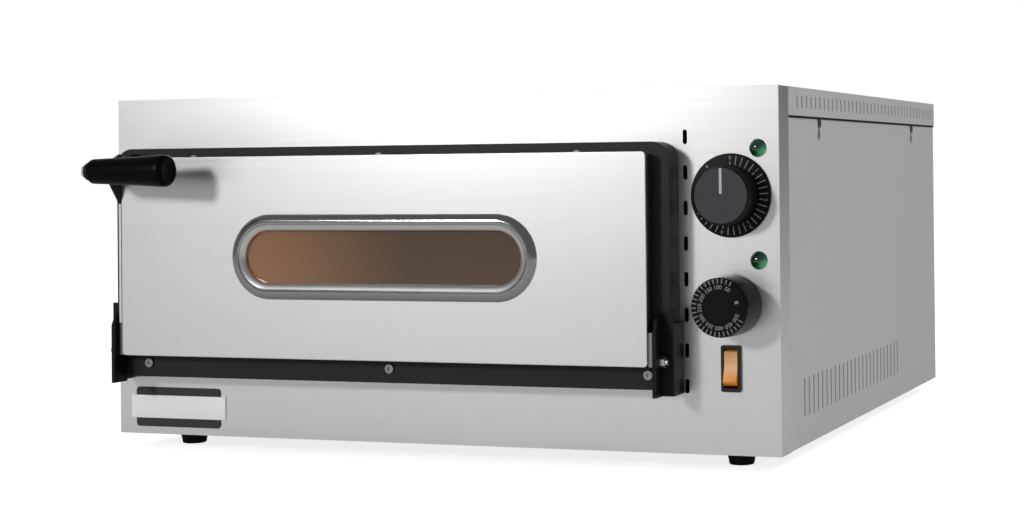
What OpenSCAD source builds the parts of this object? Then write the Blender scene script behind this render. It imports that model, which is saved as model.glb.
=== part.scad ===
// Countertop electric deck oven for one pizza, with a drop-down door.
// Millimetres. X runs left to right, the front faces -Y, +Z is up and the
// feet stand on Z = 0. Every piece is placed from the front panel's face.

/* [Housing] */
// Width of the housing
housing_w = 568; // [540:1:640]
// Depth of the housing, without the door and the cable gland
housing_d = 520; // [500:1:600]
// Height of the housing, without the feet
housing_h = 272; // [268:1:320]
// Thickness of the front panel and of the base pan
sheet = 1.2; // [0.8:0.1:1.6]
// Thickness of the top cover, the side panels and the rear panel
cover_sheet = 1; // [0.8:0.1:1.5]
// Depth of the front panel's returns
return_d = 24; // [15:1:30]
// Height of the top cover's flanges
cover_flange = 21.5; // [18:0.5:24]
// Height of the base pan's flanges
pan_flange = 15; // [8:1:18]
// Height of a foot
foot_h = 12; // [8:1:25]
// Diameter of a foot where it meets the housing
foot_d = 24; // [18:1:32]
// Diameter of a foot's tread
foot_tread_d = 19; // [16:1:24]
// Distance of a foot's centre from the housing's side
foot_side = 44; // [30:1:60]
// Distance of a foot's centre from the front face, and from the back
foot_inset = 38; // [30:1:60]

/* [Vents] */
// Width of every vent slot
slot_w = 3.3; // [2:0.1:4.5]
// Length of a slot in the front panel
front_slot_l = 10.8; // [6:0.1:14]
// Distance between slots in the front panel
front_slot_pitch = 26.4; // [20:0.1:28]
// Number of slots in the front panel
front_slots = 8; // [3:1:8]
// Distance of the front slots from the housing's right side
front_slot_x = 73.3; // [72.8:0.1:74]
// Height of the lowest front slot's middle above the housing's bottom
front_slot_z = 50.2; // [30:0.1:60]
// Length of a slot in the top cover's side flange
cover_slot_l = 10.5; // [6:0.1:14]
// Distance between slots in the cover and in the side panels
side_slot_pitch = 12.4; // [8:0.1:20]
// Length of a slot low in a side panel
side_slot_l = 30; // [10:1:40]
// Number of slots low in each side panel
side_slots = 25; // [3:1:34]
// Number of slots in each row of the rear panel
rear_slots = 16; // [3:1:20]

/* [Mouth and chamber] */
// Distance of the mouth frame from the housing's left side
frame_left = 13; // [11:0.5:14]
// Width of the strip right of the mouth frame, which holds the controls
control_strip = 78.5; // [78:0.5:90]
// Distance from the housing's top to the mouth frame's top
frame_top = 40.3; // [38:0.1:50]
// Height of the mouth frame's bottom above the housing's bottom
frame_z = 49; // [42:1:54]
// How far the mouth frame stands out of the front panel
frame_out = 20; // [16:1:26]
// Thickness of the mouth frame
frame_t = 1.5; // [1:0.1:1.8]
// Radius of the mouth frame's corners
frame_r = 14; // [4:1:18]
// Distance from the mouth frame's side to the chamber's side
chamber_side = 33.25; // [32:0.25:40]
// Distance from the mouth frame's top to the chamber's ceiling
chamber_head = 28.7; // [27:0.1:34]
// Depth of the baking chamber behind the front panel
chamber_d = 392; // [380:1:396]
// Height of the chamber's floor above the mouth frame's bottom
chamber_z = 44; // [40:1:46]
// Thickness of the chamber's liner
liner_t = 1.5; // [1:0.1:2]
// Thickness of the insulation beside the chamber
side_wool = 25; // [15:1:27]
// Thickness of the insulation above the chamber
top_wool = 35; // [20:1:36]
// Thickness of the insulation under the chamber
bottom_wool = 25; // [15:1:40]
// Thickness of the insulation behind the chamber
rear_wool = 45; // [25:1:55]
// Distance from the front panel to the baking stone
stone_front = 45.75; // [42:0.25:60]
// Gap between the baking stone and the chamber's rear wall
stone_back = 6.25; // [5:0.25:20]
// Thickness of the baking stone
stone_t = 14; // [10:1:18]
// Height of the baking stone's underside above the chamber's floor
stone_z = 13; // [12:0.5:15]
// Width of each rail that carries the stone
rail_w = 14; // [8:1:20]

/* [Heating elements] */
// Diameter of the heating tube
tube_d = 6.5; // [5:0.1:8]
// Distance between two runs of the tube
run_pitch = 60; // [40:1:64]
// Number of runs of the tube
runs = 6; // [2:2:6]
// Distance from the chamber's ceiling or floor to the tube's middle
tube_off = 7; // [6.5:0.1:7.5]
// Distance from the front panel to the bends at the front
bend_front = 60; // [40:1:80]
// Distance from the chamber's rear wall to the bends at the back
bend_back = 20; // [10:1:60]
// Diameter of a thermostat's bulb
bulb_d = 5; // [4:0.1:6]
// Length of a bulb inside the chamber
bulb_l = 75; // [50:1:120]
// Distance of the bulbs behind the front panel
bulb_y = 25; // [15:1:32]

/* [Door] */
// Gap from the mouth frame's side to the door's side
door_side = 13.6; // [12:0.1:14]
// Gap from the mouth frame's bottom to the door's bottom
door_bottom = 18; // [17:0.5:20]
// Gap from the mouth frame's top to the door's top
door_top = 7.2; // [5:0.1:12]
// Thickness of the door
door_t = 11; // [9.5:0.1:13]
// Gap between the closed door and the mouth frame
door_gap = 2; // [1.6:0.1:3]
// Thickness of the door's stainless skin
skin_t = 1.2; // [0.8:0.1:1.5]
// Depth of the skin's return round the door's edge
skin_return = 4; // [2.5:0.1:5]
// Thickness of the door's inner panel
inner_t = 1.5; // [1:0.1:2]
// Height of the hinge's pivot above the door's bottom
pivot_z = 3.5; // [3:0.1:3.5]
// Distance of the pivot in front of the door's back
pivot_y = 4.5; // [4.2:0.1:4.5]
// Diameter of a hinge bolt
hinge_bolt_d = 5; // [4:0.1:5]
// Largest opening angle of the door
door_open = 90; // [60:1:90]

/* [Window] */
// Width of the window's bezel
bezel_w = 260; // [220:1:300]
// Height of the window's bezel
bezel_h = 66; // [60:1:80]
// Width of the bezel's rim
bezel_rim = 12.5; // [9:0.5:16]
// How far the bezel stands out of the door
bezel_out = 4; // [2:0.1:6]
// Distance of the window's middle to the right of the door's middle
window_x = 7.7; // [-20:0.1:20]
// Distance of the window's middle above the door's middle
window_z = 0.3; // [-10:0.1:10]
// Thickness of the outer glass
outer_glass_t = 3.5; // [2:0.1:4]
// Thickness of the inner glass
inner_glass_t = 3; // [2:0.1:3.5]

/* [Handle] */
// Length of the grip
grip_l = 70; // [60:1:110]
// Diameter of the grip at the bracket
grip_d = 19.5; // [15:0.5:24]
// Diameter of the grip at its free end
grip_tip_d = 25; // [18:0.5:28]
// Distance of the grip's axis in front of the door
grip_out = 36; // [30:1:60]
// Distance of the grip's axis below the door's top
grip_z = 10.5; // [8:0.5:16]
// Diameter of the stud inside the grip
stud_d = 6; // [5:0.5:8]
// Thickness of the handle's bracket
bracket_t = 3; // [2:0.5:4]

/* [Controls] */
// Distance of the controls' middle from the housing's right side
control_x = 37.5; // [36.5:0.1:39]
// Distance from the housing's top to the upper knob's middle
upper_knob_drop = 80.6; // [77:0.1:82]
// Height of the lower knob above the bottom of a housing of the design height
lower_knob_z = 111; // [108:0.1:114]
// Height of the switch above the bottom of a housing of the design height
switch_z = 64; // [55:0.5:66]
// Diameter of the dial plate
dial_d = 62; // [54:0.5:66]
// Thickness of the dial plate
dial_t = 2; // [1:0.1:3]
// Diameter of the upper knob's face
upper_face_d = 42; // [34:0.5:48]
// Length of the upper knob
upper_knob_l = 21.5; // [16:0.5:28]
// Diameter of the lower knob's face
lower_face_d = 43.6; // [36:0.1:48]
// Length of the lower knob
lower_knob_l = 28.5; // [20:0.5:32]
// Diameter of a thermostat's shaft
shaft_d = 6; // [5:0.1:8]
// Diameter of a pilot light's lens
lens_d = 13.5; // [10:0.1:14]
// Distance of the pilot lights to the right of the knobs
pilot_x = 21; // [20:0.1:24]
// Distance of the upper pilot light above the upper knob
upper_pilot_z = 34.7; // [32:0.1:36]
// Distance of the lower pilot light above the lower knob
lower_pilot_z = 32.6; // [32:0.1:36]
// Width of the switch's bezel
switch_w = 15.3; // [14.5:0.1:18]
// Height of the switch's bezel
switch_h = 34.4; // [32:0.1:38]
// Angle that the rocker turns between off and on
rocker_turn = 20; // [10:1:24]

/* [Rear] */
// Distance of the cable gland from the housing's right side
gland_x = 69; // [60:1:78]
// Height of the cable gland above the housing's bottom
gland_z = 38; // [36:1:60]
// Diameter of the gland's thread
gland_d = 20; // [16:1:22]
// Diameter of the hole for the mains cord
gland_bore = 10; // [7:0.5:12]
// How far the gland stands out of the rear panel
gland_out = 20.5; // [16:0.5:30]

/* [Clearances] */
// Clearance round a pin or shaft that turns
running = 0.05; // [0.02:0.01:0.1]
// Clearance round a part that passes through a hole
free = 0.3; // [0.2:0.05:0.5]

/* [Hidden] */
$fn = 48;

// The housing's height for which the lower knob and the switch are placed
design_h = 272;

// Heights above the floor, and half widths
bottom = foot_h;
top = foot_h + housing_h;
side = housing_w / 2;
panel_side = side - cover_sheet;
inner_side = side - 2 * cover_sheet;
rear_face = housing_d - cover_sheet;
rear_inside = rear_face - cover_sheet;

// Mouth frame and chamber
frame_w = housing_w - frame_left - control_strip;
frame_h = housing_h - frame_z - frame_top;
chamber_w = frame_w - 2 * chamber_side;
chamber_h = frame_h - chamber_z - chamber_head;
frame_x = -side + frame_left + frame_w / 2;
frame_bottom = bottom + frame_z;
frame_mid = frame_bottom + frame_h / 2;
chamber_floor = frame_bottom + chamber_z;
chamber_top = chamber_floor + chamber_h;
chamber_mid = chamber_floor + chamber_h / 2;
liner_half = chamber_w / 2 + liner_t;
wool_front = sheet + 9;
wool_back = chamber_d + liner_t + rear_wool;
shield_x = frame_x + liner_half + side_wool;
stone_w = chamber_w - 10;
stone_y = stone_front;
stone_d = chamber_d - stone_front - stone_back;
screw_d = 4;

// Heating elements
bend_r = run_pitch / 2;
run_front = bend_front + bend_r;
run_back = chamber_d - bend_back - bend_r;
upper_tube_z = chamber_top - tube_off;
lower_tube_z = chamber_floor + tube_off - 1;
terminal_l = 16;
clip_wall = 2;
clip_l = 8;
clip_ys = [run_front + 20, run_back - 20];

// Door, in front of the mouth frame
door_w = frame_w - 2 * door_side;
door_h = frame_h - door_bottom - door_top;
door_x = frame_x;
door_z0 = frame_bottom + door_bottom;
door_z1 = door_z0 + door_h;
door_mid = (door_z0 + door_z1) / 2;
door_back = -frame_out - door_gap;
door_front = door_back - door_t;
skin_back = door_front + skin_t;
pivot = [door_back - pivot_y, door_z0 + pivot_z];
door_half = door_w / 2;
door_r = 3;
seal_t = door_gap - free;
seal_w = 10;

// Window
win_x = door_x + window_x;
win_z = door_mid + window_z;
glass_w = bezel_w - 2 * bezel_rim;
glass_h = bezel_h - 2 * bezel_rim;
pane_lap = 6.5;
pane_w = glass_w + 2 * pane_lap;
pane_h = glass_h + 2 * pane_lap;
inner_glass_back = door_back - inner_t;

// Hinges: half widths are measured from the door's middle
leaf_t = 1.6;
leaf_w = 4.2;
plate_in = door_half + 4.9;
plate_t = 3;
plate_front = door_front - 3;
plate_below = 4;
plate_h = 63;
plate_slope = 17;
plate_low = frame_bottom - plate_below;
plate_high = plate_low + plate_h;
nut_af = 8;
nut_t = 4;

// Handle
grip_y = door_front - grip_out;
grip_axis_z = door_z1 - grip_z;
grip_x0 = door_x - door_half;

// Controls
knob_x = side - control_x;
dial_z = top - upper_knob_drop;
low_z = bottom + lower_knob_z * housing_h / design_h;
rocker_z = bottom + switch_z * housing_h / design_h;
bush_d = shaft_d + 3;
bush_out = 1;
stat_w = 40;
stat_h = 44;
stat_flange = 48;
stat_back = 37;
shaft_in = 21;
rocker_r = 14.2;
rocker_w = switch_w - 5.1;
rocker_pivot_y = 5;
rocker_pin_d = 2;
switch_wall = 1.15;
switch_back = 24;

// The origin lies under the middle of the whole object's box
reach_front = -grip_y + grip_tip_d / 2;
reach_back = rear_face + gland_out;
front_y = (reach_front - reach_back) / 2;

// A colour, and the shift from the front panel's face to the origin
module piece(paint) { color(paint) translate([0, front_y, 0]) children(); }

// A block between two limits on each axis
module block(x, y, z) {
    translate([x[0], y[0], z[0]]) cube([x[1] - x[0], y[1] - y[0], z[1] - z[0]]);
}

// A flat shape drawn in X and Z, given a thickness from y[0] to y[1]
module slab_y(y) { translate([0, y[1], 0]) rotate([90, 0, 0]) linear_extrude(y[1] - y[0]) children(); }

// A flat shape drawn in Y and Z, given a thickness from x[0] to x[1]
module slab_x(x) { translate([x[0], 0, 0]) rotate([90, 0, 90]) linear_extrude(x[1] - x[0]) children(); }

// Round bars along each axis
module bar_x(x, y, z, d) { slab_x(x) translate([y, z]) circle(d = d); }
module bar_y(x, y, z, d) { slab_y(y) translate([x, z]) circle(d = d); }
module bar_z(x, y, z, d) { translate([x, y, z[0]]) cylinder(d = d, h = z[1] - z[0]); }

// A hexagon by its width across flats
module hex(flats) { rotate(30) circle(d = flats / cos(30), $fn = 6); }

// A rectangle with round corners, about its middle
module round_rect(w, h, r) {
    square([w - 2 * r, h], center = true);
    square([w, h - 2 * r], center = true);
    for (x = [-1, 1], y = [-1, 1])
        translate([x * (w / 2 - r), y * (h / 2 - r)]) circle(r = r);
}

// A slot with round ends along its longer side
module stadium(w, h) {
    square([w - h, h], center = true);
    for (x = [-1, 1]) translate([x * (w - h) / 2, 0]) circle(d = h);
}
module upright_slot(l) { rotate(90) stadium(l, slot_w); }

// A turned shape that stands out of the front panel; its profile is [radius, height]
module turned_front(x, z) { translate([x, 0, z]) rotate([90, 0, 0]) rotate_extrude() children(); }

// ---- Housing ----

foot_xs = [-side + foot_side, side - foot_side];
foot_ys = [foot_inset, housing_d - foot_inset];
module at_feet() { for (x = foot_xs, y = foot_ys) translate([x, y, 0]) children(); }

module base_pan() piece("silver") difference() {
    block([-inner_side, inner_side], [sheet, rear_inside], [bottom, bottom + pan_flange]);
    block([-inner_side + sheet, inner_side - sheet], [2 * sheet, rear_inside - sheet],
          [bottom + sheet, bottom + pan_flange + 1]);
    at_feet() translate([0, 0, bottom - 1]) cylinder(d = screw_d + 2 * free, h = sheet + 2);
}

side_slot_y = 62;
side_slot_z = bottom + 36;
key_ys = [109, housing_d - 96];
key_top = top - cover_flange - 4.5;
key_d = 8.5;
key_neck = 4;
key_drop = 9.7;
module keyhole(y) {
    translate([y, key_top - key_drop]) circle(d = key_d);
    translate([y, key_top]) circle(d = key_neck);
    translate([y - key_neck / 2, key_top - key_drop]) square([key_neck, key_drop]);
}
module side_panel(x) slab_x(x) difference() {
    translate([return_d, bottom]) square([rear_face - return_d, housing_h - cover_sheet]);
    for (i = [0 : side_slots - 1])
        translate([side_slot_y + i * side_slot_pitch, side_slot_z]) upright_slot(side_slot_l);
    for (y = key_ys) keyhole(y);
}
module left_side_panel() piece("darkgray") side_panel([-panel_side, -inner_side]);
module right_side_panel() piece("darkgray") side_panel([inner_side, panel_side]);

rear_slot_l = 40;
rear_slot_pitch = 26;
gland_px = side - gland_x;
gland_pz = bottom + gland_z;
rear_rows = [bottom + 95, top - 70];
module rear_panel() piece("darkgray") slab_y([rear_inside, rear_face]) difference() {
    translate([-inner_side, bottom]) square([2 * inner_side, housing_h - cover_sheet]);
    for (i = [0 : rear_slots - 1], z = rear_rows)
        translate([(i - (rear_slots - 1) / 2) * rear_slot_pitch, z]) upright_slot(rear_slot_l);
    translate([gland_px, gland_pz]) circle(d = gland_d + 2 * free);
}

cover_slot_y = 47;
cover_slot_end = 14;
cover_slots = floor((housing_d - cover_slot_y - cover_slot_end) / side_slot_pitch) + 1;
cover_slot_z = top - 5.8 - cover_slot_l / 2;
module top_cover() piece("darkgray") difference() {
    block([-side, side], [return_d, housing_d], [top - cover_flange, top]);
    block([-panel_side, panel_side], [return_d - 1, rear_face], [top - cover_flange - 1, top - cover_sheet]);
    slab_x([-side - 1, side + 1]) for (i = [0 : cover_slots - 1])
        translate([cover_slot_y + i * side_slot_pitch, cover_slot_z]) upright_slot(cover_slot_l);
}

// Holes in the front panel
mouth_w = 2 * liner_half + 2 * free;
mouth_h = chamber_h + 2 * liner_t + 2 * free;
slot_x = side - front_slot_x;
pilot_px = knob_x + pilot_x;
pilot_zs = [dial_z + upper_pilot_z, low_z + lower_pilot_z];
pilot_body_d = lens_d - 4;
switch_body_w = rocker_w + 2 * (free + switch_wall);
switch_body_h = 2 * (rocker_r + free + switch_wall);
screw_drop = 11;
screw_side = 30;
screw_side_right = 17.7;
screw_shift = 7.6;
top_screw_side = 73;
frame_screw_xs = [frame_x - frame_w / 2 + screw_side, frame_x + screw_shift,
                  frame_x + frame_w / 2 - screw_side_right];
frame_top_xs = [for (s = [-1 : 1]) frame_x + s * (frame_w / 2 - top_screw_side)];
top_screw_drop = 9.2;
frame_screw_z = frame_bottom + screw_drop;
frame_top_z = frame_bottom + frame_h - top_screw_drop;
module at_frame_screws() {
    for (x = frame_screw_xs) translate([x, frame_screw_z]) children();
    for (x = frame_top_xs) translate([x, frame_top_z]) children();
}
module front_panel() piece("lightgray") difference() {
    block([-side, side], [0, return_d], [bottom, top]);
    block([-side + sheet, side - sheet], [sheet, return_d + 1], [bottom - 1, top - sheet]);
    slab_y([-1, sheet + 1]) {
        translate([frame_x, chamber_mid]) square([mouth_w, mouth_h], center = true);
        for (i = [0 : front_slots - 1])
            translate([slot_x, bottom + front_slot_z + i * front_slot_pitch]) upright_slot(front_slot_l);
        for (z = [dial_z, low_z]) translate([knob_x, z]) circle(d = bush_d + 2 * free);
        for (z = pilot_zs) translate([pilot_px, z]) circle(d = pilot_body_d + 2 * free);
        translate([knob_x - 1, rocker_z])
            square([switch_body_w + 2 * free, switch_body_h + 2 * free], center = true);
        at_frame_screws() circle(d = screw_d + 2 * free);
    }
}

rail_leg = 20;
rail_t = 1.5;
rail_drop = 40;
side_screw_d = 3.6;
side_head_d = 8;
module side_rails() piece("gray") for (s = [0, 1]) mirror([s, 0, 0]) difference() {
    block([inner_side - rail_leg, inner_side], [return_d, rear_inside],
          [top - cover_sheet - rail_drop, top - cover_sheet]);
    block([inner_side - rail_leg - 1, inner_side - rail_t], [return_d - 1, rear_inside + 1],
          [top - cover_sheet - rail_drop - 1, top - cover_sheet - rail_t]);
    for (y = key_ys) bar_x([inner_side - rail_leg, side], y, key_top, side_screw_d + 2 * running);
}

module side_screws() piece("gainsboro") for (s = [0, 1], y = key_ys) mirror([s, 0, 0]) {
    bar_x([panel_side, side], y, key_top, side_head_d);
    bar_x([inner_side - 8, panel_side], y, key_top, side_screw_d);
}

foot_recess_d = 10;
foot_recess = 5;
module foot(x, y) piece("black") translate([x, y, 0]) rotate_extrude() polygon([
    [foot_recess_d / 2, 0], [foot_tread_d / 2 - 1, 0], [foot_tread_d / 2, 1], [foot_d / 2, bottom],
    [screw_d / 2 + free, bottom], [screw_d / 2 + free, foot_recess], [foot_recess_d / 2, foot_recess]]);
module foot_front_left() foot(foot_xs[0], foot_ys[0]);
module foot_front_right() foot(foot_xs[1], foot_ys[0]);
module foot_rear_left() foot(foot_xs[0], foot_ys[1]);
module foot_rear_right() foot(foot_xs[1], foot_ys[1]);

screw_head_d = 8;
screw_head_t = 2.6;
nut_m4 = 7;
nut_m4_t = 3.2;
module foot_screws() piece("gainsboro") at_feet() {
    translate([0, 0, foot_recess - screw_head_t]) cylinder(d = screw_head_d, h = screw_head_t);
    translate([0, 0, foot_recess - 1]) cylinder(d = screw_d, h = bottom + sheet + nut_m4_t + 3 - foot_recess);
    translate([0, 0, bottom + sheet]) linear_extrude(nut_m4_t) hex(nut_m4);
}

// ---- Mouth frame and hinges ----

module mouth_frame() piece("dimgray") difference() {
    slab_y([-frame_out, 0]) translate([frame_x, frame_mid]) round_rect(frame_w, frame_h, frame_r);
    slab_y([-frame_out + frame_t, 1]) translate([frame_x, frame_mid])
        round_rect(frame_w - 2 * frame_t, frame_h - 2 * frame_t, frame_r - frame_t);
    slab_y([-frame_out - 1, 0]) {
        translate([frame_x, chamber_mid]) square([chamber_w, chamber_h], center = true);
        at_frame_screws() circle(d = screw_d + 2 * free);
    }
}

frame_head_d = 7.3;
frame_head_t = 1.6;
module frame_screws() piece("gainsboro") {
    slab_y([-frame_out - frame_head_t, -frame_out]) at_frame_screws() difference() {
        circle(d = frame_head_d);
        circle(d = 2.4);
    }
    slab_y([-frame_out - 0.6, sheet + nut_m4_t + 2]) at_frame_screws() circle(d = screw_d);
    slab_y([sheet, sheet + nut_m4_t]) at_frame_screws() hex(nut_m4);
}

// Each hinge plate folds from beside the door, across the frame's front, to the frame's side
frame_half = frame_w / 2;
module hinge_plate() difference() {
    union() {
        slab_x([plate_in, plate_in + plate_t]) polygon([
            [-frame_out, plate_low], [plate_front, plate_low], [plate_front, plate_high - plate_slope],
            [plate_front + plate_slope / 3, plate_high - plate_slope / 3], [-frame_out, plate_high]]);
        block([plate_in, frame_half + plate_t], [-frame_out - door_gap, -frame_out], [plate_low, plate_high]);
        block([frame_half, frame_half + plate_t], [-frame_out - 1, -1], [plate_low, plate_high - 10]);
    }
    bar_x([plate_in - 1, plate_in + plate_t + 1], pivot[0], pivot[1], hinge_bolt_d + 2 * running);
}
module hinge_plate_left() piece("black") translate([door_x, 0, 0]) mirror([1, 0, 0]) hinge_plate();
module hinge_plate_right() piece("black") translate([door_x, 0, 0]) hinge_plate();

bolt_end = plate_in + plate_t + nut_t + 2;
module hinge_bolts() piece("gainsboro") for (s = [0, 1]) translate([door_x, 0, 0]) mirror([s, 0, 0]) {
    bar_x([door_half - 2.4, bolt_end], pivot[0], pivot[1], hinge_bolt_d);
    slab_x([plate_in + plate_t, plate_in + plate_t + nut_t]) translate(pivot) hex(nut_af);
}

// ---- Baking chamber ----

element_xs = [frame_x - (runs - 1) * bend_r, frame_x + (runs - 1) * bend_r];
tube_hole = tube_d + 2 * free;
bulb_hole = bulb_d + 2 * free;
lower_bulb_z = low_z;
flange_w = 6;
module element_holes() {
    for (x = element_xs, z = [lower_tube_z, upper_tube_z]) translate([x, z]) circle(d = tube_hole);
}
module bulb_holes() {
    for (z = [lower_bulb_z, dial_z]) translate([bulb_y, z]) circle(d = bulb_hole);
}
liner_front = -frame_out + frame_t;
module chamber_liner() piece("lightgray") difference() {
    union() {
        slab_y([liner_front, chamber_d + liner_t]) translate([frame_x, chamber_mid])
            square([2 * liner_half, chamber_h + 2 * liner_t], center = true);
        slab_y([liner_front, liner_front + liner_t]) translate([frame_x, chamber_mid])
            square([2 * (liner_half + flange_w), chamber_h + 2 * (liner_t + flange_w)], center = true);
    }
    slab_y([liner_front - 1, chamber_d]) translate([frame_x, chamber_mid])
        square([chamber_w, chamber_h], center = true);
    slab_y([chamber_d - 1, chamber_d + liner_t + 1]) element_holes();
    slab_x([frame_x, frame_x + liner_half + 1]) bulb_holes();
}

support_w = 40;
support_t = 1.5;
support_ys = [70, 330];
wool_low = chamber_floor - liner_t - bottom_wool;
module chamber_supports() piece("silver") for (y = support_ys) difference() {
    block([frame_x - liner_half, frame_x + liner_half], [y, y + support_w], [bottom + sheet, wool_low]);
    block([frame_x - liner_half - 1, frame_x + liner_half + 1], [y + support_t, y + support_w - support_t],
          [bottom + sheet - 1, wool_low - support_t]);
}

module stone_rails() piece("silver") for (s = [0, 1]) translate([frame_x, 0, 0]) mirror([s, 0, 0]) {
    block([chamber_w / 2 - rail_w, chamber_w / 2], [stone_y, stone_y + stone_d],
          [chamber_floor + stone_z - rail_t, chamber_floor + stone_z]);
    block([chamber_w / 2 - rail_t, chamber_w / 2], [stone_y, stone_y + stone_d],
          [chamber_floor, chamber_floor + stone_z]);
}

module baking_stone() piece("tan") block([frame_x - stone_w / 2, frame_x + stone_w / 2],
    [stone_y, stone_y + stone_d], [chamber_floor + stone_z, chamber_floor + stone_z + stone_t]);

// The tube winds forwards and back, and both its ends leave through the rear wall
terminal_back = wool_back + terminal_l;
module half_ring(r) {
    intersection() {
        rotate_extrude() translate([r, 0]) circle(d = tube_d);
        translate([-2 * r, 0, -tube_d]) cube([4 * r, 2 * r, 2 * tube_d]);
    }
}
module heating_tube(z) {
    for (i = [0 : runs - 1]) {
        x = element_xs[0] + i * run_pitch;
        ends = i == 0 || i == runs - 1;
        bar_y(x, [run_front, ends ? terminal_back : run_back], z, tube_d);
    }
    for (i = [0 : runs - 2]) {
        x = element_xs[0] + (i + 0.5) * run_pitch;
        if (i % 2 == 0) translate([x, run_front, z]) rotate(180) half_ring(bend_r);
        else translate([x, run_back, z]) half_ring(bend_r);
    }
    for (x = element_xs) bar_y(x, [terminal_back - 1, terminal_back + terminal_l / 2], z, tube_d / 2);
}
module upper_element() piece("dimgray") heating_tube(upper_tube_z);
module lower_element() piece("dimgray") heating_tube(lower_tube_z);

// A strip on the chamber's wall, with a ring round each run of the tube
module clip_row(z, wall_z) {
    clip_d = tube_d + 2 * (free + clip_wall);
    strip = wall_z > z ? [wall_z - rail_t, wall_z] : [wall_z, wall_z + rail_t];
    difference() {
        union() for (y = clip_ys) {
            block([element_xs[0] - clip_d / 2, element_xs[1] + clip_d / 2], [y, y + clip_l], strip);
            for (i = [0 : runs - 1]) {
                x = element_xs[0] + i * run_pitch;
                bar_y(x, [y, y + clip_l], z, clip_d);
                block([x - clip_wall, x + clip_wall], [y, y + clip_l], [min(z, wall_z), max(z, wall_z)]);
            }
        }
        for (i = [0 : runs - 1])
            bar_y(element_xs[0] + i * run_pitch, [clip_ys[0] - 1, clip_ys[1] + clip_l + 1], z, tube_hole);
    }
}
module upper_brackets() piece("silver") clip_row(upper_tube_z, chamber_top);
module lower_brackets() piece("silver") clip_row(lower_tube_z, chamber_floor);

// ---- Insulation ----

wool_x = [frame_x - liner_half - side_wool, frame_x + liner_half + side_wool];
wool_z = [chamber_floor - liner_t, chamber_top + liner_t];
module insulation_top() piece("khaki")
    block(wool_x, [wool_front, wool_back], [wool_z[1], wool_z[1] + top_wool]);
module insulation_bottom() piece("khaki") block(wool_x, [wool_front, wool_back], [wool_low, wool_z[0]]);
module insulation_left() piece("khaki")
    block([wool_x[0], frame_x - liner_half], [wool_front, wool_back], wool_z);
module insulation_right() piece("khaki") difference() {
    block([frame_x + liner_half, wool_x[1]], [wool_front, wool_back], wool_z);
    slab_x([frame_x + liner_half - 1, wool_x[1] + 1]) bulb_holes();
}
module insulation_rear() piece("khaki") difference() {
    block([frame_x - liner_half, frame_x + liner_half], [chamber_d + liner_t, wool_back], wool_z);
    slab_y([chamber_d + liner_t - 1, wool_back + 1]) element_holes();
}

shield_foot = 14;
module heat_shield() piece("silver") difference() {
    union() {
        block([shield_x, shield_x + sheet], [2 * sheet, wool_back], [bottom + sheet, wool_z[1] + top_wool]);
        block([shield_x, shield_x + shield_foot], [2 * sheet, wool_back],
              [bottom + sheet, bottom + 2 * sheet]);
    }
    slab_x([shield_x - 1, shield_x + sheet + 1]) bulb_holes();
}

// ---- Controls ----

module thermostat(z) piece("ivory") difference() {
    union() {
        block([knob_x - stat_flange / 2, knob_x + stat_flange / 2], [sheet, 2 * sheet],
              [z - stat_flange / 2, z + stat_flange / 2]);
        block([knob_x - stat_w / 2, knob_x + stat_w / 2], [sheet, stat_back],
              [z - stat_h / 2, z + stat_h / 2]);
        bar_y(knob_x, [-bush_out, sheet + 1], z, bush_d);
    }
    bar_y(knob_x, [-bush_out - 1, shaft_in + 1], z, shaft_d + 2 * running);
}
module upper_thermostat() thermostat(dial_z);
module lower_thermostat() thermostat(low_z);

// A bulb inside the chamber, and the thin capillary from it to its thermostat
capillary_d = 2;
bulb_end = frame_x + chamber_w / 2 + 12;
module bulb(z) piece("goldenrod") {
    bar_x([frame_x + chamber_w / 2 - bulb_l, bulb_end], bulb_y, z, bulb_d);
    bar_x([bulb_end - 1, knob_x - stat_w / 2], bulb_y, z, capillary_d);
}
module upper_bulb() bulb(dial_z);
module lower_bulb() bulb(lower_bulb_z);

module dial_plate() piece("black") slab_y([-dial_t, 0]) translate([knob_x, dial_z]) difference() {
    circle(d = dial_d, $fn = 96);
    circle(d = bush_d + 2 * free);
}

// A domed lens with a collar, and the lamp's body behind the panel
lens_h = 4.5;
lens_r = (lens_d * lens_d / 4 + lens_h * lens_h) / (2 * lens_h);
module pilot_light(z) piece("green") {
    turned_front(pilot_px, z) intersection() {
        translate([0, lens_h - lens_r]) circle(r = lens_r, $fn = 96);
        square([lens_d, lens_h]);
    }
    bar_y(pilot_px, [-0.5, 20], z, pilot_body_d);
}
module upper_pilot_light() pilot_light(pilot_zs[0]);
module lower_pilot_light() pilot_light(pilot_zs[1]);

switch_x = knob_x - 1;
bezel_proud = 2;
cavity_back = rocker_pivot_y + 4.5;
module switch_bezel() piece("black") difference() {
    union() {
        slab_y([-bezel_proud, 0]) translate([switch_x, rocker_z]) round_rect(switch_w, switch_h, 1.5);
        block([switch_x - switch_body_w / 2, switch_x + switch_body_w / 2], [-1, switch_back],
              [rocker_z - switch_body_h / 2, rocker_z + switch_body_h / 2]);
    }
    block([switch_x - rocker_w / 2 - free, switch_x + rocker_w / 2 + free], [-bezel_proud - 1, cavity_back],
          [rocker_z - rocker_r - free, rocker_z + rocker_r + free]);
    bar_x([switch_x - switch_w, switch_x + switch_w], rocker_pivot_y, rocker_z, rocker_pin_d + 2 * running);
}

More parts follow.
